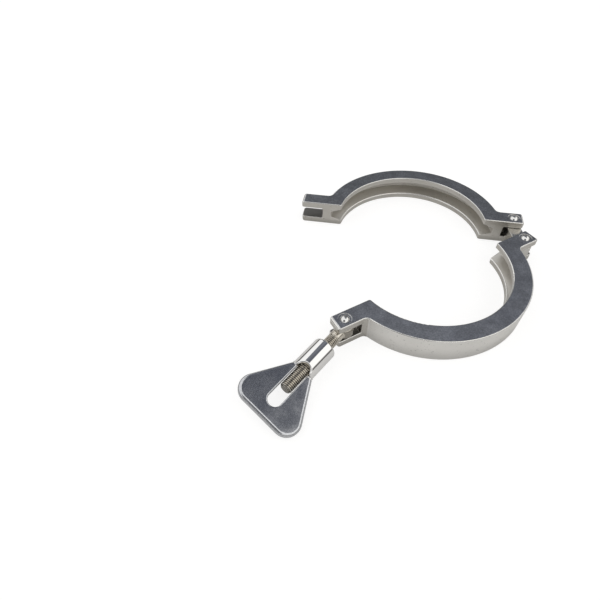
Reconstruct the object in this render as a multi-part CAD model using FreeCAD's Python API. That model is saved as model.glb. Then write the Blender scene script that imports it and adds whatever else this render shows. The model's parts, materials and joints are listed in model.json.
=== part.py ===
"""Sanitary V-band clamp, double-pin pattern, for a pair of 119 mm (4 inch) ferrules.

Two cast half rings with a V groove inside meet at forked ears. A short link, held by two pins, joins
them on one side. On the other side a swing bolt pivots in the front half's fork, drops into the back
half's open fork, and a one-piece wing nut pulls the two ears together. The clamp lies open on its flat
side. Lengths are in millimetres, angles in degrees. X runs along the back half's parting line, Y into
the back half, Z up, and the origin is the centre of the back half's groove. Every piece is built lying
on the plane Z = 0 and is lowered to that origin at the end.
"""
import FreeCAD, Part
import math
import os
from FreeCAD import Vector

# Ring section
ring_outer_diameter = 136.0
ring_wall = 4.0
groove_depth = 8.5
ring_height = 19.4
groove_floor_width = 4.8
groove_flank_angle = 20.0
lip_round = 0.8
edge_round = 0.8

# Ears, square to the parting line: each length is what stands out beyond the ring
parting_offset = 8.5
ear_thickness = 11.8
hinge_ear_length = 16.0
bolt_ear_length = 17.5
open_ear_length = 19.5
ear_end_round = 2.0
ear_root_fillet = 4.0
mouth_corner_round = 1.6
fork_corner_round = 0.8
fork_mouth_round = 0.5

# Pins: a domed head on top, a flush foot below, each in a shallow spot face
pin_diameter = 6.0
pin_fit = 0.02
pin_dome_height = 1.3
pin_foot_recess = 0.3
spot_face_rim = 1.4
spot_face_depth = 0.4
hinge_pin_setback = 7.0
bolt_pin_setback = 7.9

# Hinge link
link_pitch = 23.0
link_width = 10.0
link_end_margin = 5.5
link_corner_round = 2.5
link_side_clearance = 0.3
link_root_clearance = 0.4
link_edge_round = 0.5
pivot_clearance = 0.06

# Swing bolt
bolt_diameter = 8.0
bolt_length = 57.0
bolt_tip_chamfer = 1.0
bolt_side_clearance = 0.5
bolt_root_clearance = 3.4
eye_diameter = 13.0
eye_side_clearance = 0.2
eye_root_clearance = 3.05
eye_edge_round = 2.5

# Wing nut, one casting: the wing's length is what stands out beyond the barrel
nut_closing_gap = 1.2
barrel_diameter = 15.0
barrel_length = 23.4
barrel_end_round = 1.6
thread_clearance = 0.06
wing_length = 36.0
wing_width = 43.4
wing_thickness = 5.0
wing_waist_step = 0.3
wing_root_lap = 0.66
wing_corner_round = 8.9
wing_rim_round = 2.0
window_side_clearance = 0.3
window_end_wall = 8.4
window_barrel_lap = 3.9
window_rim_round = 0.8

# The open position in which the clamp lies
link_opening = 12.8
front_opening = 26.3
bolt_swing = 21.65
nut_turn = -18.4

# Worked out from the sizes above
ring_radius = ring_outer_diameter / 2
floor_radius = ring_radius - ring_wall
mouth_radius = floor_radius - groove_depth
mid_height = ring_height / 2
ear_back = parting_offset + ear_thickness
ear_middle = parting_offset + ear_thickness / 2
hinge_ear_reach = ring_radius + hinge_ear_length
bolt_ear_reach = ring_radius + bolt_ear_length
open_ear_reach = ring_radius + open_ear_length
hinge_pin_reach = hinge_ear_reach - hinge_pin_setback
bolt_pin_reach = bolt_ear_reach - bolt_pin_setback
pin_radius = pin_diameter / 2
fork_slot_height = bolt_diameter + 2 * bolt_side_clearance
link_sweep = link_corner_round + math.hypot(link_width / 2 - link_corner_round,
                                            link_end_margin - link_corner_round)
hinge_slot_root = hinge_pin_reach - link_sweep - link_root_clearance
bolt_slot_root = bolt_pin_reach - eye_diameter / 2 - eye_root_clearance
open_slot_root = bolt_pin_reach - bolt_diameter / 2 - bolt_root_clearance
nut_distance = ear_thickness / 2 + ear_thickness + nut_closing_gap
wing_end = barrel_length + wing_length
window_width = bolt_diameter + 2 * window_side_clearance
window_start = barrel_length - window_barrel_lap
window_end = wing_end - window_end_wall
overshoot = 5.0
UP = Vector(0, 0, 1)
ACROSS = Vector(0, 1, 0)


def turned(shape, angle, centre):
    """A copy of shape turned about a vertical axis through centre."""
    copy = shape.copy()
    copy.rotate(centre, UP, angle)
    return copy


def face_of(edges):
    return Part.Face(Part.Wire(Part.__sortEdges__(edges)))


def box(x_low, x_high, y_low, y_high, z_low, z_high):
    return Part.makeBox(x_high - x_low, y_high - y_low, z_high - z_low, Vector(x_low, y_low, z_low))


def arc(centre, radius, start, end):
    """Horizontal arc from the start angle to the end angle, in degrees."""
    points = []
    for angle in (start, (start + end) / 2, end):
        a = math.radians(angle)
        points.append(centre + Vector(radius * math.cos(a), radius * math.sin(a), 0))
    return Part.Arc(*points).toShape()


def parallel_edges(shape, direction, test):
    """Straight edges along direction whose middle point passes the test."""
    found = []
    for edge in shape.Edges:
        straight = not edge.Degenerated and isinstance(edge.Curve, Part.Line)
        if straight and edge.Curve.Direction.cross(direction).Length < 1e-6:
            if test(edge.valueAt((edge.FirstParameter + edge.LastParameter) / 2)):
                found.append(edge)
    return found


def level_edges(shape, *heights):
    """Edges that lie wholly at one of the heights."""
    found = []
    for edge in shape.Edges:
        limits = edge.BoundBox
        if any(abs(limits.ZMin - z) + abs(limits.ZMax - z) < 1e-4 for z in heights):
            found.append(edge)
    return found


# Half rings

def half_outline(right_reach, left_reach):
    """Plan of one half: ring, two ears and the fillets where the ears leave the ring."""
    fillet_x = math.sqrt((ring_radius + ear_root_fillet) ** 2 - (ear_back + ear_root_fillet) ** 2)
    touch = math.degrees(math.atan2(ear_back + ear_root_fillet, fillet_x))
    mouth_x = math.sqrt(mouth_radius ** 2 - parting_offset ** 2)
    mouth_angle = math.degrees(math.atan2(parting_offset, mouth_x))
    edges = [
        arc(Vector(0, 0, 0), ring_radius, touch, 180 - touch),
        arc(Vector(0, 0, 0), mouth_radius, mouth_angle, 180 - mouth_angle),
    ]
    for side, reach in ((1, right_reach), (-1, left_reach)):
        centre = Vector(side * fillet_x, ear_back + ear_root_fillet, 0)
        start, end = (-90, touch - 180) if side > 0 else (-90, -touch)
        edges.append(arc(centre, ear_root_fillet, start, end))
        corners = [
            Vector(side * fillet_x, ear_back, 0),
            Vector(side * reach, ear_back, 0),
            Vector(side * reach, parting_offset, 0),
            Vector(side * mouth_x, parting_offset, 0),
        ]
        for a, b in zip(corners, corners[1:]):
            edges.append(Part.makeLine(a, b))
    return face_of(edges)


def groove_cutter():
    """The V groove: a flat floor, two flanks that open towards the mouth, and rounded lips."""
    slope = math.radians(groove_flank_angle)
    half_floor = groove_floor_width / 2
    inner = mouth_radius - overshoot
    lip_z = half_floor + groove_depth * math.tan(slope)
    setback = lip_round * math.tan((math.pi / 2 - slope) / 2)
    bulge = lip_round * (1 - math.cos((math.pi / 2 - slope) / 2)) / math.cos((math.pi / 2 - slope) / 2)
    middle = (math.pi / 2 + slope) / 2
    edges = []
    for side in (1, -1):
        def at(radius, height):
            return Vector(radius, 0, mid_height + side * height)
        flank_end = at(mouth_radius + setback * math.cos(slope), lip_z - setback * math.sin(slope))
        lip_end = at(mouth_radius, lip_z + setback)
        lip_crown = at(mouth_radius + bulge * math.sin(middle), lip_z + bulge * math.cos(middle))
        edges.append(Part.makeLine(at(floor_radius, half_floor), flank_end))
        edges.append(Part.Arc(flank_end, lip_crown, lip_end).toShape())
        edges.append(Part.makeLine(lip_end, at(inner, lip_z + setback)))
    edges.append(Part.makeLine(Vector(floor_radius, 0, mid_height - half_floor),
                               Vector(floor_radius, 0, mid_height + half_floor)))
    edges.append(Part.makeLine(Vector(inner, 0, mid_height - lip_z - setback),
                               Vector(inner, 0, mid_height + lip_z + setback)))
    return face_of(edges).revolve(Vector(0, 0, 0), UP, 360)


def fork_slot(side, root, reach):
    """The slot through an ear, open at its end, with a rounded root."""
    low = mid_height - fork_slot_height / 2
    deep = ear_back + ring_radius
    slot = box(root, reach + overshoot, 0, deep, low, low + fork_slot_height)
    inner = parallel_edges(slot, ACROSS, lambda p: p.x < (root + reach) / 2)
    slot = slot.makeFillet(fork_corner_round, inner)
    return slot if side > 0 else turned(slot, 180, Vector(0, deep / 2, 0))


def pin_seat(x):
    """Pin hole and its two spot faces."""
    centre = Vector(x, ear_middle, 0)
    seat = Part.makeCylinder(pin_radius + pin_fit, ring_height, centre)
    for z in (0, ring_height - spot_face_depth):
        seat = seat.fuse(Part.makeCylinder(pin_radius + spot_face_rim, spot_face_depth, centre + UP * z))
    return seat


def slot_rims(half, side, root, reach):
    """The slot's long edges on the ear's front and back faces."""
    found = []
    for edge in parallel_edges(half, Vector(1, 0, 0), lambda p: root < side * p.x < reach):
        limits = edge.BoundBox
        on_face = min(abs(limits.YMax - parting_offset), abs(limits.YMax - ear_back)) < 1e-4
        if on_face and abs(abs(limits.ZMax - mid_height) - fork_slot_height / 2) < 1e-4:
            found.append(edge)
    return found


def half_ring(right, left, pin_places):
    """One half in its own frame, with the ring towards +Y.

    Right and left each give an ear's reach and where its slot starts.
    """
    blank = half_outline(right[0], left[0]).extrude(UP * ring_height)
    corners = parallel_edges(blank, UP, lambda p: abs(p.x) < ring_radius and p.y < ear_middle)
    blank = blank.makeFillet(mouth_corner_round, corners)
    ends = [e for way in (UP, ACROSS) for e in parallel_edges(blank, way, lambda p: abs(p.x) > ring_radius)]
    blank = blank.makeFillet(ear_end_round, ends)
    rims = level_edges(blank, 0, ring_height)
    blank = blank.makeFillet(edge_round, rims)
    blank = blank.cut(groove_cutter())
    for side, (reach, root) in ((1, right), (-1, left)):
        blank = blank.cut(fork_slot(side, root, reach))
        blank = blank.makeFillet(fork_mouth_round, slot_rims(blank, side, root, reach))
    for x in pin_places:
        blank = blank.cut(pin_seat(x))
    return blank


# Pins

def domed_pin(centre):
    """Straight pin with a low domed head above the ear and a foot just inside it."""
    top = ring_height - spot_face_depth
    shank = Part.makeCylinder(pin_radius, top - pin_foot_recess, centre + UP * pin_foot_recess)
    rise = spot_face_depth + pin_dome_height
    ball = (pin_radius ** 2 + rise ** 2) / (2 * rise)
    dome = Part.makeSphere(ball, centre + UP * (top + rise - ball))
    head = dome.common(Part.makeCylinder(pin_radius, ring_height, centre + UP * top))
    return shank.fuse(head).removeSplitter()


# Hinge link

def hinge_link(pin_back, pin_front):
    """Flat link between the two hinge forks, with a hole for each pin."""
    height = fork_slot_height - 2 * link_side_clearance
    low = mid_height - height / 2
    half = link_width / 2
    bar = box(-half, half, -link_pitch - link_end_margin, link_end_margin, low, low + height)
    bar = bar.makeFillet(link_corner_round, parallel_edges(bar, UP, lambda p: True))
    bar = bar.makeFillet(link_edge_round, level_edges(bar, low, low + height))
    for y in (0, -link_pitch):
        bar = bar.cut(Part.makeCylinder(pin_radius + pivot_clearance, ring_height, Vector(0, y, 0)))
    bar.rotate(Vector(0, 0, 0), UP, link_opening)
    bar.translate(Vector(pin_back.x, pin_back.y, 0))
    return bar


# Swing bolt and wing nut, made along +X from the bolt pin's axis, at mid height

def swing_bolt():
    """A flat eye on the bolt pin and a straight threaded stem."""
    height = fork_slot_height - 2 * eye_side_clearance
    low = mid_height - height / 2
    eye = Part.makeCylinder(eye_diameter / 2, height, UP * low)
    eye = eye.makeFillet(eye_edge_round, level_edges(eye, low, low + height))
    axis = Vector(1, 0, 0)
    stem = Part.makeCylinder(bolt_diameter / 2, bolt_length, UP * mid_height, axis)
    tip = [e for e in stem.Edges if e.BoundBox.XMin > bolt_length - 0.01]
    stem = stem.makeChamfer(bolt_tip_chamfer, tip)
    bolt = eye.fuse(stem)
    return bolt.cut(Part.makeCylinder(pin_radius + pivot_clearance, ring_height))


def wing_plate():
    """The triangular wing: two straight flares from the waist, round corners and a straight end."""
    start = barrel_length - barrel_end_round
    waist = Vector(barrel_length - wing_root_lap, barrel_diameter / 2 + wing_waist_step, 0)
    corner = Vector(wing_end - wing_corner_round, wing_width / 2 - wing_corner_round, 0)
    reach = corner.distanceToPoint(waist)
    slope = math.atan2(corner.y - waist.y, corner.x - waist.x) + math.asin(wing_corner_round / reach)
    touch = corner + Vector(-math.sin(slope), math.cos(slope), 0) * wing_corner_round
    middle = (math.pi / 2 + slope) / 2
    crown = corner + Vector(math.cos(middle), math.sin(middle), 0) * wing_corner_round
    end = Vector(wing_end, corner.y, 0)
    edges = [
        Part.makeLine(Vector(start, -waist.y, 0), Vector(start, waist.y, 0)),
        Part.makeLine(Vector(wing_end, -corner.y, 0), end),
    ]
    for side in (1, -1):
        def at(point):
            return Vector(point.x, side * point.y, 0)
        edges.append(Part.makeLine(at(Vector(start, waist.y, 0)), at(waist)))
        edges.append(Part.makeLine(at(waist), at(touch)))
        edges.append(Part.Arc(at(touch), at(crown), at(end)).toShape())
    low = mid_height - wing_thickness / 2
    plate = face_of(edges)
    plate.translate(UP * low)
    plate = plate.extrude(UP * wing_thickness)
    outline = level_edges(plate, low, low + wing_thickness)
    return plate.makeFillet(wing_rim_round, [e for e in outline if e.BoundBox.XMax > waist.x - wing_root_lap])


def wing_window():
    """The long round-ended opening in which the bolt's tip shows. It starts inside the barrel's end."""
    radius = window_width / 2
    first = Vector(window_start + radius, 0, 0)
    last = Vector(window_end - radius, 0, 0)
    edges = [arc(first, radius, 90, 270), arc(last, radius, -90, 90)]
    for side in (1, -1):
        edges.append(Part.makeLine(first + ACROSS * side * radius, last + ACROSS * side * radius))
    return face_of(edges).extrude(UP * ring_height)


def window_rims(nut):
    """The edges where the window's upright wall comes out of the wing and of the barrel."""
    radius = window_width / 2
    found = []
    for edge in nut.Edges:
        ends = edge.BoundBox
        upright = ends.XLength + ends.YLength < 1e-4
        on_wall = True
        for point in edge.discretize(7):
            nearest = min(max(point.x, window_start + radius), window_end - radius)
            on_wall = on_wall and abs(math.hypot(point.x - nearest, point.y) - radius) < 1e-3
        if on_wall and not upright:
            found.append(edge)
    return found


def wing_nut():
    """One casting: a round barrel, threaded right through, that runs into the flat wing."""
    axis = Vector(1, 0, 0)
    centre = UP * mid_height
    barrel = Part.makeCylinder(barrel_diameter / 2, barrel_length, centre, axis)
    rims = [e for e in barrel.Edges if isinstance(e.Curve, Part.Circle)]
    barrel = barrel.makeFillet(barrel_end_round, rims)
    nut = barrel.fuse(wing_plate())
    nut = nut.cut(wing_window())
    nut = nut.makeFillet(window_rim_round, window_rims(nut))
    bore = Part.makeCylinder(bolt_diameter / 2 + thread_clearance, window_start + window_width, centre, axis)
    nut = nut.cut(bore)
    nut.rotate(centre, axis, nut_turn)
    nut.translate(axis * nut_distance)
    return nut.removeSplitter()


# Places of the pieces in the open clamp

def front_frame():
    """Turn and shift that carry the front half from its own frame to where it lies."""
    pin_back = Vector(hinge_pin_reach, ear_middle, 0)
    swing = math.radians(link_opening)
    pin_front = pin_back + Vector(math.sin(swing), -math.cos(swing), 0) * link_pitch
    angle = 180 + link_opening + front_opening
    own_pin = Vector(-hinge_pin_reach, ear_middle, 0)

    def place(shape):
        moved = shape.copy()
        moved.rotate(own_pin, UP, angle)
        moved.translate(pin_front - own_pin)
        return moved

    return place, pin_back, pin_front


def build():
    place, pin_back, pin_front = front_frame()
    bolt_pin_centre = Vector(bolt_pin_reach, ear_middle, 0)

    def on_bolt(shape):
        shape.rotate(Vector(0, 0, 0), UP, bolt_swing)
        shape.translate(bolt_pin_centre)
        return place(shape)

    hinge = (hinge_ear_reach, hinge_slot_root)
    back = half_ring(hinge, (open_ear_reach, open_slot_root), [hinge_pin_reach])
    front = half_ring((bolt_ear_reach, bolt_slot_root), hinge, [bolt_pin_reach, -hinge_pin_reach])
    return {
        "back_half": back,
        "front_half": place(front),
        "hinge_link": hinge_link(pin_back, pin_front),
        "hinge_pin_back": domed_pin(pin_back),
        "hinge_pin_front": domed_pin(pin_front),
        "bolt_pin": place(domed_pin(bolt_pin_centre)),
        "swing_bolt": on_bolt(swing_bolt()),
        "wing_nut": on_bolt(wing_nut()),
    }


os.makedirs("parts", exist_ok=True)
for name, shape in build().items():
    shape.translate(UP * -mid_height)
    solid = shape.Solids[0]
    print(name, len(shape.Solids), "solid", "valid" if solid.isValid() else "NOT VALID", round(solid.Volume))
    solid.exportStep("parts/" + name + ".step")
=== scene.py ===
"""Looks and studio for an open V-band pipe clamp that lies on a white table.

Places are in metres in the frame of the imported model, and what its record states is read from there.
In the materials a pattern is the size of its lumps, their detail and how rough that is. A span is the part
of a measure over which a finish changes, and a band is two ends and how soft they are. Tones, roughnesses
and factors come in pairs, for the low and the high end of a pattern or a span.
"""
import json
import math
import bmesh
import bpy
from mathutils import Matrix, Vector


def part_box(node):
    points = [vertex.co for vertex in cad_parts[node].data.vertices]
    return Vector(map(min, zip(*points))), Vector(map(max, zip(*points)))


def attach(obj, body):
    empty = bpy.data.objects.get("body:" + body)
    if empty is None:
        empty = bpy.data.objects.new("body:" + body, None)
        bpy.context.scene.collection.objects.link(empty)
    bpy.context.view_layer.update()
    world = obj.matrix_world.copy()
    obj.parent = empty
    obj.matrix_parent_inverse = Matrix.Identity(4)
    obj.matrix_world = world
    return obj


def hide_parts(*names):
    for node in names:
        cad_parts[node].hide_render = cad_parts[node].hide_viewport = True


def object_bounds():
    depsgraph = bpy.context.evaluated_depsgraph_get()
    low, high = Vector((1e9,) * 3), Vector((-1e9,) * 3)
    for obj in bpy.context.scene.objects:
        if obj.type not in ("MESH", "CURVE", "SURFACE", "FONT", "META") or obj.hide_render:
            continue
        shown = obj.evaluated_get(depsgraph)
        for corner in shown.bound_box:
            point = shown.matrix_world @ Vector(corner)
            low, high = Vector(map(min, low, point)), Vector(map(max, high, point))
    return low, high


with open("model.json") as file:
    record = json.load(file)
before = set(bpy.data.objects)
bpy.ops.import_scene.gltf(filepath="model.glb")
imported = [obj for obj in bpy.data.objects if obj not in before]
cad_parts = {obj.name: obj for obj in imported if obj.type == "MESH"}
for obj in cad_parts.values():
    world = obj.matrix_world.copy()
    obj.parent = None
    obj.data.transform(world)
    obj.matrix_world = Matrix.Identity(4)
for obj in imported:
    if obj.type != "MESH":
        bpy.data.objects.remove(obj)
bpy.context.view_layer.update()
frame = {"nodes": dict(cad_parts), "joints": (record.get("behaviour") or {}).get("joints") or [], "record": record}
MM = 0.001

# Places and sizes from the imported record
JOINTS = {joint["name"]: joint for joint in frame["joints"]}
MOUNTS = {mount["name"]: mount for mount in frame["record"]["mounts"]}
BOLT_PIVOT = Vector(JOINTS["bolt_swing"]["pos_m"])
BOLT_AXIS = Vector(JOINTS["nut_travel"]["axis"]).normalized()
BACK_CENTRE = Vector(MOUNTS["back_seat"]["pos_m"])
FRONT_CENTRE = Vector(MOUNTS["front_seat"]["pos_m"])
MOUTH_RADIUS = MOUNTS["back_seat"]["dims"]["r_mm"] * MM

# What a smooth step gives at the two ends of its span
RISING = (0.0, 1.0)
FALLING = (1.0, 0.0)


# Shader graphs

def opaque(colour):
    """A colour of three numbers with full alpha. A node's output is left as it is."""
    return (*colour, 1.0) if isinstance(colour, tuple) else colour


class Graph:
    """A node tree in which each node is made with its inputs in one call."""

    def __init__(self, tree):
        self.tree = tree
        tree.nodes.clear()

    def add(self, kind, inputs=None, **settings):
        """A new node, each of whose inputs is a number, a colour or another node's output."""
        node = self.tree.nodes.new("ShaderNode" + kind)
        for name, value in settings.items():
            setattr(node, name, value)
        for key, value in (inputs or {}).items():
            socket = node.inputs[key]
            if isinstance(value, bpy.types.NodeSocket):
                self.tree.links.new(value, socket)
            else:
                socket.default_value = value
        return node

    def math(self, operation, *values):
        return self.add("Math", dict(enumerate(values)), operation=operation).outputs[0]

    def product(self, first, second):
        return self.math("MULTIPLY", first, second)

    def vector(self, operation, *values):
        """Vector maths that gives a vector."""
        return self.add("VectorMath", dict(enumerate(values)), operation=operation).outputs["Vector"]

    def dot(self, first, second):
        return self.add("VectorMath", {0: first, 1: second}, operation="DOT_PRODUCT").outputs["Value"]

    def length(self, vector):
        return self.add("VectorMath", {0: vector}, operation="LENGTH").outputs["Value"]

    def scale(self, vector, factor):
        """A vector or colour times a number."""
        return self.add("VectorMath", {0: vector, 3: factor}, operation="SCALE").outputs["Vector"]

    def split(self, vector):
        """The x, y and z of a vector."""
        return self.add("SeparateXYZ", {0: vector}).outputs

    def step(self, value, span, result=RISING):
        """Smooth change from the first result to the second as value goes through the span."""
        low, high = span
        first, second = result
        inputs = {"Value": value, "From Min": low, "From Max": high, "To Min": first, "To Max": second}
        return self.add("MapRange", inputs, interpolation_type="SMOOTHSTEP").outputs[0]

    def band(self, value, low, high, soft):
        """1 where value lies between low and high, with soft ends."""
        return self.product(self.step(value, (low - soft, low + soft)),
                            self.step(value, (high - soft, high + soft), FALLING))

    def noise(self, place, size, detail, roughness):
        """Noise between 0 and 1 whose lumps are about size metres across."""
        inputs = {"Vector": place, "Scale": 1.0 / size, "Detail": detail, "Roughness": roughness}
        return self.add("TexNoise", inputs).outputs["Fac"]

    def blend(self, amount, first, second):
        """The number between the first and the second, by an amount from 0 to 1."""
        return self.add("Mix", {0: amount, 2: first, 3: second}).outputs[0]

    def mix(self, amount, first, second):
        """The colour between the first and the second, by an amount from 0 to 1."""
        inputs = {0: amount, 6: opaque(first), 7: opaque(second)}
        return self.add("Mix", inputs, data_type="RGBA").outputs[2]


def new_metal(name):
    """A material with an empty graph, and the place on the object that its patterns follow."""
    metal = bpy.data.materials.new(name)
    metal.use_nodes = True
    graph = Graph(metal.node_tree)
    place = graph.add("TexCoord").outputs["Object"]
    return metal, graph, place


def finish_metal(graph, colour, roughness, depth, bump_strength, rounded=None):
    """Shades the metal with a colour and roughness that vary, and bumps of the given depth in metres."""
    inputs = {"Height": depth, "Distance": 1.0, "Strength": bump_strength}
    if rounded is not None:
        inputs["Normal"] = rounded
    bump = graph.add("Bump", inputs)
    inputs = {"Base Color": colour, "Metallic": 1.0, "Roughness": roughness, "Normal": bump.outputs[0]}
    shader = graph.add("BsdfPrincipled", inputs)
    graph.add("OutputMaterial", {"Surface": shader.outputs[0]})


def dress(node, metal):
    """Gives a node of the frame one material."""
    mesh = frame["nodes"][node].data
    mesh.materials.clear()
    mesh.materials.append(metal)


# Spans and a pattern that several metals share
WIDE_SPAN = (0.2, 0.8)
MIDDLE_SPAN = (0.3, 0.7)
SPECKLE = (1.1 * MM, 4.0, 0.65)


# Half rings

# Radii of their outer wall and groove
RING_RADIUS = 68.0 * MM
GROOVE_RADIUS = 64.0 * MM

# Where the finishes and the painted shade and light change: spans of the measures that cast_zones works out
FLAT_DEPTHS = (0.6 * MM, 0.45 * MM)
FLAT_LEVELS = (0.90, 0.96)
EDGE_DEPTHS = (0.75 * MM, 0.6 * MM)
EDGE_BENDS = (0.90, 0.99)
SLOT_HEIGHTS = (6.5 * MM, 7 * MM)
SLOT_LEVELS = (0.96, 0.98)
GROOVE_HEIGHTS = (5.6 * MM, 5.8 * MM)
OUTER_FACING = (0.90, 0.97)
LIP_FACING = (-0.90, -0.70)

# Bands of the same measures
RIM_BAND = (0.16, 0.90, 0.05)
OUTER_BAND = (RING_RADIUS - 1.2 * MM, RING_RADIUS + 0.3 * MM, 0.1 * MM)
GROOVE_BAND = (MOUTH_RADIUS + 1 * MM, GROOVE_RADIUS + 0.3 * MM, 0.2 * MM)

# Rounding of the edges in the shading, and the samples that it takes
EDGE_ROUNDING = 0.35 * MM
EDGE_SAMPLES = 6

# Painted shade: walls darken towards the table; the height where that starts, in half heights, and the factor at
# the foot
OUTER_FOOT_SHADE = (0.35, 0.76)
INNER_FOOT_SHADE = (-0.3, 0.74)

CAST_CLOUD = (16 * MM, 3.0, 0.5)
CAST_GRAIN = (0.5 * MM, 3.0, 0.6)
SATIN_TONES = ((0.545, 0.525, 0.485), (0.68, 0.66, 0.615))
OUTER_TONES = ((0.82, 0.81, 0.775), (0.955, 0.94, 0.91))
FLAT_TONES = ((0.49, 0.495, 0.505), (0.68, 0.685, 0.70))
# Painted light: the groove gets a paler, even tone that stands in for light
GROOVE_PAINTED_LIGHT_TONE = (0.64, 0.62, 0.58)
# Painted shade on the horizontal faces inside the ears' slots
SLOT_SHADE_TONE = (0.26, 0.25, 0.23)
# Painted highlight: rims and edges are paler; their lower roughness is the burnish
RIM_HIGHLIGHT_TONE = (0.84, 0.83, 0.80)
SATIN_ROUGHNESS = (0.30, 0.40)
RIM_ROUGHNESS = 0.20
FLAT_ROUGHNESS = (0.14, 0.20)
SATIN_BUMP = 0.05 * MM
FLAT_BUMP = 0.010 * MM
CAST_BUMP_STRENGTH = 0.8

# Haze and bright specks on the flats, and dark pits in the walls: pattern, span and factors
HAZE = ((7 * MM, 4.0, 0.6), (0.35, 0.70), (0.90, 1.16))
SPECKS = ((0.9 * MM, 2.0, 0.5), (0.66, 0.76), (1.0, 1.25))
PITS = ((1.5 * MM, 2.0, 0.5), (0.64, 0.74), (1.0, 0.72))


def cast_zones(graph, place, rounded, half_height, centre):
    """Masks from 0 to 1 for the finishes of a half ring and for its painted shade and light, by where a wall lies
    and which way it faces.

    Height is measured from the ring's middle, depth from its nearer flat and radius from its centre. Level
    says how far a wall faces up or down, outward how far it faces away from the centre, and bend how far
    the rounded surface has turned from the real one, with 1 for not at all.
    """
    x, y, z = graph.split(place)
    height = graph.math("ABSOLUTE", z)
    facing = graph.add("TexCoord").outputs["Normal"]
    level = graph.math("ABSOLUTE", graph.split(facing)["Z"])
    arm = graph.vector("SUBTRACT", graph.add("CombineXYZ", {0: x, 1: y}).outputs[0], centre)
    radius = graph.length(arm)
    outward = graph.dot(graph.vector("NORMALIZE", arm), facing)
    bend = graph.dot(rounded, graph.add("NewGeometry").outputs["Normal"])

    def by_depth(depths, result=RISING):
        """Step between two depths, the deeper one first."""
        return graph.step(height, [half_height - depth for depth in depths], result)

    # Sharp edges away from the flats, which share the rims' burnish and painted highlight
    edge = graph.product(graph.step(bend, EDGE_BENDS, FALLING), by_depth(EDGE_DEPTHS, FALLING))
    ring = graph.band(radius, *GROOVE_BAND)
    # The rims' mask carries burnish and a painted highlight, the slots' mask painted shade and the groove's mask
    # painted light
    return {
        "flat": graph.product(by_depth(FLAT_DEPTHS), graph.step(level, FLAT_LEVELS)),
        "rim_burnish_and_highlight": graph.math("MAXIMUM", graph.band(level, *RIM_BAND), edge),
        "slot": graph.product(graph.step(height, SLOT_HEIGHTS, FALLING), graph.step(level, SLOT_LEVELS)),
        "groove": graph.product(graph.step(height, GROOVE_HEIGHTS, FALLING), ring),
        "outer": graph.product(graph.step(outward, OUTER_FACING), graph.band(radius, *OUTER_BAND)),
        "lip": graph.step(outward, LIP_FACING, FALLING),
    }


def painted_foot_shade(graph, place, half_height, foot_shade):
    """Factor of painted shade that darkens a wall towards the table."""
    reach, dark = foot_shade
    return graph.step(graph.split(place)["Z"], (-half_height, reach * half_height), (dark, 1.0))


def pattern_factor(graph, place, pattern, span, factors):
    """Factor that follows a pattern, such as haze or specks."""
    return graph.step(graph.noise(place, *pattern), span, factors)


def cast_steel(name, half, centre):
    """Investment-cast steel: flats polished dark, rims burnished with a painted highlight, every other wall satin
    and grainy, with painted shade low down and in the slots and painted light in the groove.
    """
    metal, graph, place = new_metal(name)
    half_height = -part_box(half)[0].z
    rounded = graph.add("Bevel", {"Radius": EDGE_ROUNDING}, samples=EDGE_SAMPLES).outputs[0]
    zones = cast_zones(graph, place, rounded, half_height, centre)
    cloud = graph.noise(place, *CAST_CLOUD)
    grain = graph.noise(place, *CAST_GRAIN)
    speckle = graph.noise(place, *SPECKLE)

    # Painted shade towards the table on the satin, except on the lips, and on the outer wall
    inner_foot_shade = graph.math("MAXIMUM", painted_foot_shade(graph, place, half_height, INNER_FOOT_SHADE), zones["lip"])
    satin = graph.scale(graph.mix(cloud, *SATIN_TONES), inner_foot_shade)
    outer = graph.scale(graph.mix(cloud, *OUTER_TONES), painted_foot_shade(graph, place, half_height, OUTER_FOOT_SHADE))
    side = graph.mix(zones["outer"], satin, outer)
    # Painted light in the groove
    side = graph.mix(zones["groove"], side, GROOVE_PAINTED_LIGHT_TONE)
    # Painted shade in the slots
    side = graph.mix(zones["slot"], side, SLOT_SHADE_TONE)
    side = graph.scale(side, pattern_factor(graph, place, *PITS))
    # Painted highlight on the burnished rims and edges
    side = graph.mix(zones["rim_burnish_and_highlight"], side, RIM_HIGHLIGHT_TONE)
    flat = graph.mix(graph.step(speckle, MIDDLE_SPAN), *FLAT_TONES)
    haze = graph.product(pattern_factor(graph, place, *HAZE), pattern_factor(graph, place, *SPECKS))
    colour = graph.mix(zones["flat"], side, graph.scale(flat, haze))

    rough_side = graph.blend(zones["rim_burnish_and_highlight"], graph.step(grain, WIDE_SPAN, SATIN_ROUGHNESS), RIM_ROUGHNESS)
    rough_flat = graph.step(cloud, MIDDLE_SPAN, FLAT_ROUGHNESS)
    roughness = graph.blend(zones["flat"], rough_side, rough_flat)
    depth = graph.blend(zones["flat"], graph.product(grain, SATIN_BUMP), graph.product(speckle, FLAT_BUMP))
    finish_metal(graph, colour, roughness, depth, CAST_BUMP_STRENGTH, rounded)
    return metal


# Wing nut

# Where the wing starts, from the middle of the bolt's eye, and over what length its finish comes in
WING_START = 42.3 * MM
WING_BLEND = 0.4 * MM

NUT_CLOUD = (9 * MM, 2.0, 0.5)
BARREL_TONES = ((0.87, 0.865, 0.85), (0.93, 0.925, 0.91))
BARREL_ROUGHNESS = (0.03, 0.06)
WING_TONES = ((0.50, 0.51, 0.53), (0.68, 0.69, 0.715))
WING_ROUGHNESS = (0.12, 0.17)
NUT_BUMP = 0.006 * MM
NUT_BUMP_STRENGTH = 0.8


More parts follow.
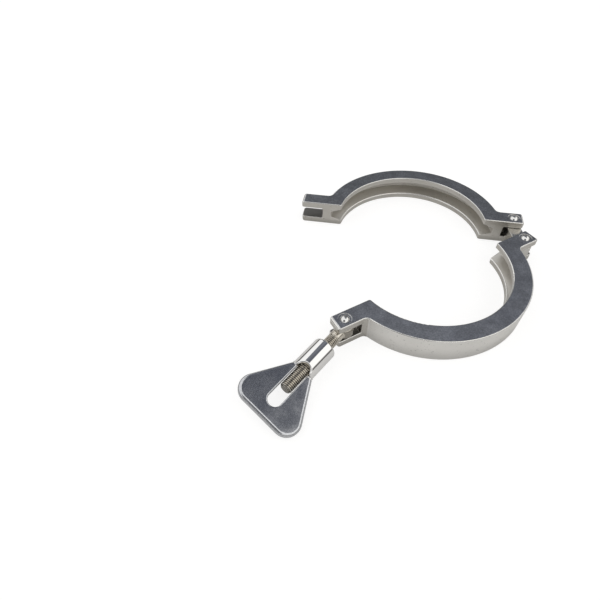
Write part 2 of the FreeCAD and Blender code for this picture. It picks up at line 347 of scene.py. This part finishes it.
def nut_steel():
    """The nut: a mirror-polished barrel, and a satin, speckled wing."""
    metal, graph, place = new_metal("nut_steel")
    start = BOLT_PIVOT.dot(BOLT_AXIS) + WING_START
    wing = graph.step(graph.dot(place, BOLT_AXIS), (start, start + WING_BLEND))
    speckle = graph.noise(place, *SPECKLE)
    cloud = graph.noise(place, *NUT_CLOUD)
    polish = graph.mix(cloud, *BARREL_TONES)
    satin = graph.mix(graph.step(speckle, MIDDLE_SPAN), *WING_TONES)
    smooth = graph.step(cloud, WIDE_SPAN, BARREL_ROUGHNESS)
    rough = graph.step(cloud, MIDDLE_SPAN, WING_ROUGHNESS)
    depth = graph.product(speckle, NUT_BUMP)
    colour = graph.mix(wing, polish, satin)
    finish_metal(graph, colour, graph.blend(wing, smooth, rough), depth, NUT_BUMP_STRENGTH)
    return metal


# Hinge link and pins

LINK_CLOUD = (6 * MM, 2.0, 0.5)
LINK_GRAIN = (0.4 * MM, 3.0, 0.5)
LINK_TONES = ((0.62, 0.605, 0.57), (0.76, 0.745, 0.71))
LINK_ROUGHNESS = (0.16, 0.26)
LINK_BUMP = 0.02 * MM
LINK_BUMP_STRENGTH = 0.7

PIN_SWIRL = (1.2 * MM, 3.0, 0.5)
PIN_TONES = ((0.74, 0.735, 0.72), (0.84, 0.835, 0.82))
PIN_ROUGHNESS = (0.08, 0.14)
PIN_BUMP = 0.004 * MM
PIN_BUMP_STRENGTH = 0.6


def link_steel():
    """Satin link, tumbled smooth."""
    metal, graph, place = new_metal("link_steel")
    grain = graph.noise(place, *LINK_GRAIN)
    colour = graph.mix(graph.noise(place, *LINK_CLOUD), *LINK_TONES)
    roughness = graph.step(grain, WIDE_SPAN, LINK_ROUGHNESS)
    finish_metal(graph, colour, roughness, graph.product(grain, LINK_BUMP), LINK_BUMP_STRENGTH)
    return metal


def pin_steel():
    """Pins with a bright, burnished head."""
    metal, graph, place = new_metal("pin_steel")
    swirl = graph.noise(place, *PIN_SWIRL)
    colour = graph.mix(swirl, *PIN_TONES)
    roughness = graph.step(swirl, WIDE_SPAN, PIN_ROUGHNESS)
    finish_metal(graph, colour, roughness, graph.product(swirl, PIN_BUMP), PIN_BUMP_STRENGTH)
    return metal


# Swing bolt, with the eye and stem of the CAD model and a real thread

EYE_RADIUS = 6.5 * MM
EYE_ROUND = 2.5 * MM
EYE_ROUND_STEPS = 8
EYE_HOLE_RADIUS = 3.06 * MM
EYE_SIDES = 96
STEM_RADIUS = 4.0 * MM
STEM_START = 4.6 * MM
TIP_CHAMFER = 1.0 * MM
THREAD_PITCH = 1.25 * MM
THREAD_DEPTH = 0.62 * MM
THREAD_SIDES = 80
RUNOUT_START = 8.5 * MM
RUNOUT_LENGTH = 3.5 * MM
WELD_DISTANCE = 0.002 * MM
SHARP_ANGLE = 32

# Corners of one turn of the thread, each a share of its pitch and of its depth
THREAD_CORNERS = ((0.0, 0.0), (0.10, 0.0), (0.44, 1.0), (0.62, 1.0), (0.96, 0.0))

# Painted shade in the thread's roots, and the eye darker too: radii over which that changes, and the factors there
ROOT_SHADE_RADII = (STEM_RADIUS - 0.9 * THREAD_DEPTH, STEM_RADIUS - 0.1 * THREAD_DEPTH)
ROOT_SHADE_FACTORS = (0.38, 1.0)
EYE_RADII = (STEM_RADIUS + 0.1 * MM, STEM_RADIUS + 0.5 * MM)
EYE_FACTORS = (1.0, 0.5)

THREAD_SMEAR = (2.5 * MM, 3.0, 0.5)
THREAD_GRAIN = (0.2 * MM, 2.0, 0.5)
THREAD_TONES = ((0.65, 0.605, 0.53), (0.83, 0.785, 0.695))
THREAD_ROUGHNESS = (0.16, 0.26)
THREAD_BUMP = 0.01 * MM
THREAD_BUMP_STRENGTH = 0.6


def thread_steel():
    """Machined bolt: warm grey, with painted shade in the thread's roots, and darker on the eye."""
    metal, graph, place = new_metal("thread_steel")
    arm = graph.vector("SUBTRACT", place, BOLT_PIVOT)
    radius = graph.length(graph.vector("CROSS_PRODUCT", arm, BOLT_AXIS))
    # Painted shade in the thread's roots
    root_shade = graph.step(radius, ROOT_SHADE_RADII, ROOT_SHADE_FACTORS)
    eye = graph.step(radius, EYE_RADII, EYE_FACTORS)
    smear = graph.noise(place, *THREAD_SMEAR)
    colour = graph.scale(graph.mix(smear, *THREAD_TONES), graph.product(root_shade, eye))
    roughness = graph.step(smear, WIDE_SPAN, THREAD_ROUGHNESS)
    depth = graph.product(graph.noise(place, *THREAD_GRAIN), THREAD_BUMP)
    finish_metal(graph, colour, roughness, depth, THREAD_BUMP_STRENGTH)
    return metal


def eye_section(half_height):
    """Closed section of the eye as pairs of radius and height, with its two rims rounded."""
    centre = EYE_RADIUS - EYE_ROUND
    points = [(EYE_HOLE_RADIUS, half_height)]
    for side in (1, -1):
        bend = []
        for i in range(EYE_ROUND_STEPS + 1):
            angle = math.pi / 2 * i / EYE_ROUND_STEPS
            height = half_height - EYE_ROUND + EYE_ROUND * math.cos(angle)
            bend.append((centre + EYE_ROUND * math.sin(angle), side * height))
        points += bend if side > 0 else bend[::-1]
    points.append((EYE_HOLE_RADIUS, -half_height))
    return points


def add_eye(vertices, faces, half_height):
    """The eye, turned about the upright line through the bolt's pivot."""
    section = eye_section(half_height)
    first = len(vertices)
    for i in range(EYE_SIDES):
        angle = 2 * math.pi * i / EYE_SIDES
        for radius, height in section:
            place = Vector((radius * math.cos(angle), radius * math.sin(angle), height))
            vertices.append(BOLT_PIVOT + place)
    count = len(section)
    for i in range(EYE_SIDES):
        here, there = first + i * count, first + (i + 1) % EYE_SIDES * count
        for point in range(count):
            after = (point + 1) % count
            faces.append((here + point, there + point, there + after, here + after))


def stem_point(along, depth, length):
    """Place along the stem, kept within its ends, and the surface's radius there."""
    along = min(max(along, STEM_START), length)
    ramp = min(max((along - RUNOUT_START) / RUNOUT_LENGTH, 0.0), 1.0)
    radius = STEM_RADIUS - depth * ramp * THREAD_DEPTH
    return along, min(radius, STEM_RADIUS - TIP_CHAMFER + length - along)


def add_stem(vertices, faces, length):
    """The stem, with a right-hand thread whose rows of points follow the helix."""
    up = Vector((0, 0, 1))
    across = BOLT_AXIS.cross(up)
    corners = len(THREAD_CORNERS)
    rows = corners * (math.ceil((length - STEM_START) / THREAD_PITCH) + 2)
    first = len(vertices)
    for i in range(THREAD_SIDES):
        angle = 2 * math.pi * i / THREAD_SIDES
        outward = up * math.cos(angle) + across * math.sin(angle)
        for row in range(rows):
            turn, corner = divmod(row, corners)
            share, depth = THREAD_CORNERS[corner]
            start = STEM_START + (turn - 1 + share + i / THREAD_SIDES) * THREAD_PITCH
            along, radius = stem_point(start, depth, length)
            vertices.append(BOLT_PIVOT + BOLT_AXIS * along + outward * radius)
    for i in range(THREAD_SIDES):
        here, there = first + i * rows, first + (i + 1) * rows
        shift = 0
        if i == THREAD_SIDES - 1:
            there, shift = first, corners
        for row in range(rows - 1 - shift):
            faces.append((here + row, here + row + 1, there + shift + row + 1, there + shift + row))


def bolt_mesh():
    """Eye and stem in one mesh, as long and as thick as the plain bolt of the frame."""
    plain = frame["nodes"]["swing_bolt"].data
    length = max((vertex.co - BOLT_PIVOT).dot(BOLT_AXIS) for vertex in plain.vertices)
    vertices, faces = [], []
    add_eye(vertices, faces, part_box("swing_bolt")[1].z)
    add_stem(vertices, faces, length)
    mesh = bpy.data.meshes.new("bolt_thread")
    mesh.from_pydata(vertices, [], faces)
    shell = bmesh.new()
    shell.from_mesh(mesh)
    bmesh.ops.remove_doubles(shell, verts=shell.verts, dist=WELD_DISTANCE)
    bmesh.ops.dissolve_degenerate(shell, edges=shell.edges, dist=WELD_DISTANCE)
    bmesh.ops.holes_fill(shell, edges=[edge for edge in shell.edges if edge.is_boundary])
    bmesh.ops.recalc_face_normals(shell, faces=shell.faces)
    shell.to_mesh(mesh)
    shell.free()
    mesh.polygons.foreach_set("use_smooth", [True] * len(mesh.polygons))
    mesh.set_sharp_from_angle(angle=math.radians(SHARP_ANGLE))
    return mesh


def threaded_bolt():
    """The swing bolt with its thread, in the place of the plain one."""
    mesh = bolt_mesh()
    mesh.materials.append(thread_steel())
    bolt = bpy.data.objects.new("bolt_thread", mesh)
    bpy.context.scene.collection.objects.link(bolt)
    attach(bolt, "swing_bolt")
    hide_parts("swing_bolt")


# Table

TABLE_HALF = 4.0
TABLE_TONE = (0.64, 0.63, 0.615)
WHITE = (1.0, 1.0, 1.0)

# Shares of white glow in place of the tone, to the camera and in the metal, and the glow on top of it
GLOW_TO_CAMERA = 0.5
GLOW_TO_METAL = 0.25
LIFT_TO_CAMERA = 0.3


def table_paint():
    """Pale paint with a share of white glow for the camera and for the metal's reflections."""
    paint = bpy.data.materials.new("table_white")
    paint.use_nodes = True
    graph = Graph(paint.node_tree)
    path = graph.add("LightPath")
    seen = path.outputs["Is Camera Ray"]
    bounced = graph.math("ADD", path.outputs["Is Glossy Ray"], path.outputs["Is Transmission Ray"])
    share = graph.math("MULTIPLY_ADD", bounced, GLOW_TO_METAL, graph.product(seen, GLOW_TO_CAMERA))
    matt = graph.add("BsdfDiffuse", {"Color": opaque(TABLE_TONE)})
    glow = graph.add("Emission", {"Color": opaque(WHITE), "Strength": 1.0})
    lift = graph.add("Emission", {"Color": opaque(WHITE), "Strength": graph.product(seen, LIFT_TO_CAMERA)})
    both = graph.add("MixShader", {0: share, 1: matt.outputs[0], 2: glow.outputs[0]})
    surface = graph.add("AddShader", {0: both.outputs[0], 1: lift.outputs[0]})
    graph.add("OutputMaterial", {"Surface": surface.outputs[0]})
    return paint


def floor_plane():
    """The table top: white to the camera but for the clamp's soft shadow, and seen in the metal."""
    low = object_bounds()[0][2]
    mesh = bpy.data.meshes.new("table_top")
    corners = [(x * TABLE_HALF, y * TABLE_HALF, low) for x, y in ((-1, -1), (1, -1), (1, 1), (-1, 1))]
    mesh.from_pydata(corners, [], [(0, 1, 2, 3)])
    table = bpy.data.objects.new("table_top", mesh)
    bpy.context.scene.collection.objects.link(table)
    mesh.materials.append(table_paint())


# Light tent, in spans and bands of the right, back and up parts of a direction, each part from -1 to 1

WALL_SPAN = (-0.3, 0.5)
WARM_WHITE = (1.12, 1.11, 1.09)
GAP_SPAN = (0.19, 0.34)
GAP_TONE = (0.15, 0.145, 0.14)

# The opening that the camera looks in by: its direction from the clamp, and the cosines at its edge
OPENING = Vector((-0.14, -0.71, 0.69))
OPENING_SPAN = (0.89, 0.96)
OPENING_TONE = (0.14, 0.14, 0.145)

# The back panel's left and right edges, which slant, and its upper edge
LEFT_EDGE_SPAN = (-0.045, -0.01)
LEFT_EDGE_SLANT = 0.27
RIGHT_EDGE_SPAN = (0.27, 0.33)
RIGHT_EDGE_SLANT = -0.25
BACK_PANEL_SPAN = (0.28, 0.36)

# The top panel, a little to the right
TOP_PANEL_RIGHT_BAND = (0.13, 0.455, 0.03)
TOP_PANEL_BACK_BAND = (0.03, 0.45, 0.04)

# Tones of the panels' upper, middle and lower parts, and of a paler strip in the middle one
UPPER_TONE = (0.118, 0.126, 0.150)
MIDDLE_TONE = (0.168, 0.177, 0.203)
LOWER_TONE = (0.142, 0.149, 0.163)
STRIP_TONE = (0.212, 0.222, 0.250)
MIDDLE_BACK_SPAN = (0.34, 0.54)
LOWER_BACK_SPAN = (0.66, 0.82)
STRIP_RIGHT_BAND = (0.03, 0.25, 0.06)


def slanted_edge(graph, right, back, slant, span, result):
    """Step from left to right across an edge that slants with how far back it is."""
    return graph.step(graph.math("MULTIPLY_ADD", back, slant, right), span, result)


def tent_panels(graph, right, back):
    """Mask of the dark panels behind and above the clamp, and their tone."""
    left_edge = slanted_edge(graph, right, back, LEFT_EDGE_SLANT, LEFT_EDGE_SPAN, RISING)
    right_edge = slanted_edge(graph, right, back, RIGHT_EDGE_SLANT, RIGHT_EDGE_SPAN, FALLING)
    back_panel = graph.product(graph.product(left_edge, right_edge), graph.step(back, BACK_PANEL_SPAN))
    across = graph.band(right, *TOP_PANEL_RIGHT_BAND)
    top_panel = graph.product(across, graph.band(back, *TOP_PANEL_BACK_BAND))
    middle = graph.mix(graph.band(right, *STRIP_RIGHT_BAND), MIDDLE_TONE, STRIP_TONE)
    shade = graph.mix(graph.step(back, MIDDLE_BACK_SPAN), UPPER_TONE, middle)
    shade = graph.mix(graph.step(back, LOWER_BACK_SPAN), shade, LOWER_TONE)
    return graph.math("MAXIMUM", back_panel, top_panel), shade


def studio_light():
    """A white tent with dark panels behind and above, a dark gap at the horizon and an opening in front."""
    world = bpy.data.worlds.new("light_tent")
    bpy.context.scene.world = world
    world.use_nodes = True
    graph = Graph(world.node_tree)
    direction = graph.add("TexCoord").outputs["Generated"]
    right, back, up = graph.split(direction)
    panel, shade = tent_panels(graph, right, back)
    wall = graph.mix(graph.step(right, WALL_SPAN), WHITE, WARM_WHITE)
    tint = graph.mix(panel, wall, shade)
    tint = graph.mix(graph.step(up, GAP_SPAN, FALLING), tint, GAP_TONE)
    tint = graph.mix(graph.step(graph.dot(direction, OPENING), OPENING_SPAN), tint, OPENING_TONE)
    lit = graph.add("Background", {"Color": tint, "Strength": 1.0})
    plain = graph.add("Background", {"Color": opaque(WHITE), "Strength": 1.0})
    seen = graph.add("LightPath").outputs["Is Camera Ray"]
    both = graph.add("MixShader", {0: seen, 1: lit.outputs[0], 2: plain.outputs[0]})
    graph.add("OutputWorld", {"Surface": both.outputs[0]})


# Camera, fitted to the photograph's two half rings, with its angles in degrees

IMAGE_WIDTH = 600
FOCAL_PIXELS = 417.5
SENSOR_WIDTH = 36.0
CLIP_START = 0.01
CLIP_END = 50.0
CAMERA_PLACE = Vector((-29.065, -267.728, 214.396)) * MM
CAMERA_PITCH = 49.198
CAMERA_HEADING = 12.845
CAMERA_ROLL = -2.167


def photo_camera():
    """Camera at the photograph's place and angle."""
    data = bpy.data.cameras.new("photo_camera")
    data.sensor_width = SENSOR_WIDTH
    data.sensor_fit = "HORIZONTAL"
    data.lens = FOCAL_PIXELS / IMAGE_WIDTH * SENSOR_WIDTH
    data.clip_start = CLIP_START
    data.clip_end = CLIP_END
    camera = bpy.data.objects.new("photo_camera", data)
    bpy.context.scene.collection.objects.link(camera)
    turn = Matrix.Rotation(math.radians(CAMERA_HEADING), 4, "Z")
    tip = Matrix.Rotation(math.radians(90 - CAMERA_PITCH), 4, "X")
    roll = Matrix.Rotation(math.radians(CAMERA_ROLL), 4, "Z")
    camera.matrix_world = Matrix.Translation(CAMERA_PLACE) @ turn @ tip @ roll
    bpy.context.scene.camera = camera


# Scene

photo_camera()
studio_light()
floor_plane()

pin = pin_steel()
dress("back_half", cast_steel("back_steel", "back_half", BACK_CENTRE))
dress("front_half", cast_steel("front_steel", "front_half", FRONT_CENTRE))
dress("hinge_link", link_steel())
dress("hinge_pin_back", pin)
dress("hinge_pin_front", pin)
dress("bolt_pin", pin)
threaded_bolt()
dress("wing_nut", nut_steel())

bpy.context.scene.view_settings.view_transform = "Standard"
